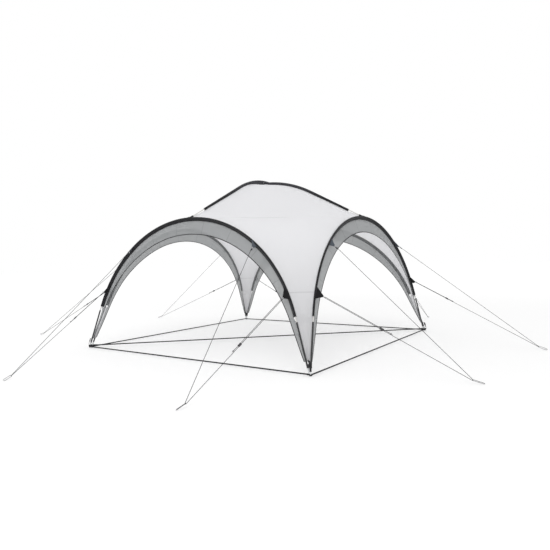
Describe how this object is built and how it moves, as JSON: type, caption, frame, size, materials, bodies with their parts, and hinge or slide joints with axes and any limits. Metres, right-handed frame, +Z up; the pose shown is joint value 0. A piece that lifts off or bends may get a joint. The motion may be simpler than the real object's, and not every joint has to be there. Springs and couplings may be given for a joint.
{
  "type": "tarp shelter",
  "caption": "Open-sided tarp shelter: white canopy on arched poles and crossed roof poles, grey doorway valances, ground straps and guy lines with sliding runners.",
  "frame": {"origin": "on the ground under the middle of the canopy, level with the undersides of the feet", "axes": "+Z up, sides parallel to X and Y, the front doorway faces -Y"},
  "size_m": [7.1985, 6.8425, 2.3009],
  "materials": {
    "canopy_fabric": "matt coated woven polyester, white",
    "valance_fabric": "matt woven polyester, mid grey, lets some light through",
    "sleeve_fabric": "matt heavy woven polyester, near black",
    "binding_tape": "matt folded tape, dark grey",
    "fibreglass": "satin pultruded fibreglass, off-white",
    "leg_steel": "powder-coated steel tube, dark grey, satin",
    "foot_metal": "turned aluminium, satin",
    "webbing": "matt woven webbing, dark grey",
    "buckle_plastic": "moulded nylon, black, fine grain",
    "patch_black": "matt reinforced webbing, black",
    "patch_slate": "matt reinforced webbing, slate grey",
    "ring_steel": "zinc-plated welded wire ring",
    "cord": "matt braided cord, dark grey",
    "runner_plastic": "moulded nylon, dark grey",
    "elastic": "covered elastic cord, mid grey"
  },
  "bodies": {
    "shelter": {"arch_pole_front": "fibreglass", "arch_sleeve_front": "sleeve_fabric", "valance_front": "valance_fabric", "ground_strap_front": "webbing", "arch_pole_right": "fibreglass", "arch_sleeve_right": "sleeve_fabric", "valance_right": "valance_fabric", "ground_strap_right": "webbing", "arch_pole_back": "fibreglass", "arch_sleeve_back": "sleeve_fabric", "valance_back": "valance_fabric", "ground_strap_back": "webbing", "arch_pole_left": "fibreglass", "arch_sleeve_left": "sleeve_fabric", "valance_left": "valance_fabric", "ground_strap_left": "webbing", "leg_tubes_near": "leg_steel", "canopy_leg_near": "canopy_fabric", "leg_tubes_right": "leg_steel", "canopy_leg_right": "canopy_fabric", "leg_tubes_far": "leg_steel", "canopy_leg_far": "canopy_fabric", "leg_tubes_left": "leg_steel", "canopy_leg_left": "canopy_fabric", "valance_bindings": "binding_tape", "foot_tips": "foot_metal", "corner_buckles": "buckle_plastic", "corner_straps": "webbing", "ground_strap_diagonal": "webbing", "roof_pole_lower": "fibreglass", "roof_pole_upper": "fibreglass", "roof_sleeve_lower": "sleeve_fabric", "roof_sleeve_upper": "sleeve_fabric", "apex_pockets": "buckle_plastic", "canopy_roof": "canopy_fabric", "crown_patch": "canopy_fabric", "guy_patches_lower": "patch_black", "guy_patches_upper": "patch_slate", "guy_rings": "ring_steel", "guy_knots": "cord", "peg_loops": "elastic", "guy_front_left": "cord", "guy_front_right": "cord", "guy_right_left": "cord", "guy_right_right": "cord", "guy_back_left": "cord", "guy_back_right": "cord", "guy_left_left": "cord", "guy_left_right": "cord"},
    "runner_front_left": {"runner_front_left": "runner_plastic"},
    "runner_front_right": {"runner_front_right": "runner_plastic"},
    "runner_right_left": {"runner_right_left": "runner_plastic"},
    "runner_right_right": {"runner_right_right": "runner_plastic"},
    "runner_back_left": {"runner_back_left": "runner_plastic"},
    "runner_back_right": {"runner_back_right": "runner_plastic"},
    "runner_left_left": {"runner_left_left": "runner_plastic"},
    "runner_left_right": {"runner_left_right": "runner_plastic"}
  },
  "joints": [
    {"name": "tension_front_left", "type": "slide", "parent": "shelter", "child": "runner_front_left", "axis": [0.3024, -0.8623, -0.4063], "range_m": [-0.621, 0.064]},
    {"name": "tension_front_right", "type": "slide", "parent": "shelter", "child": "runner_front_right", "axis": [-0.0162, -0.8862, -0.463], "range_m": [-0.756, 0.064]},
    {"name": "tension_right_left", "type": "slide", "parent": "shelter", "child": "runner_right_left", "axis": [0.8826, 0.1098, -0.4572], "range_m": [-0.632, 0.064]},
    {"name": "tension_right_right", "type": "slide", "parent": "shelter", "child": "runner_right_right", "axis": [0.8753, -0.298, -0.3808], "range_m": [-0.532, 0.064]},
    {"name": "tension_back_left", "type": "slide", "parent": "shelter", "child": "runner_back_left", "axis": [-0.086, 0.903, -0.4209], "range_m": [-0.562, 0.064]},
    {"name": "tension_back_right", "type": "slide", "parent": "shelter", "child": "runner_back_right", "axis": [0.0657, 0.9044, -0.4216], "range_m": [-0.561, 0.064]},
    {"name": "tension_left_left", "type": "slide", "parent": "shelter", "child": "runner_left_left", "axis": [-0.9198, -0.0997, -0.3794], "range_m": [-0.495, 0.064]},
    {"name": "tension_left_right", "type": "slide", "parent": "shelter", "child": "runner_left_right", "axis": [-0.9231, 0.0433, -0.3822], "range_m": [-0.53, 0.064]}
  ]
}
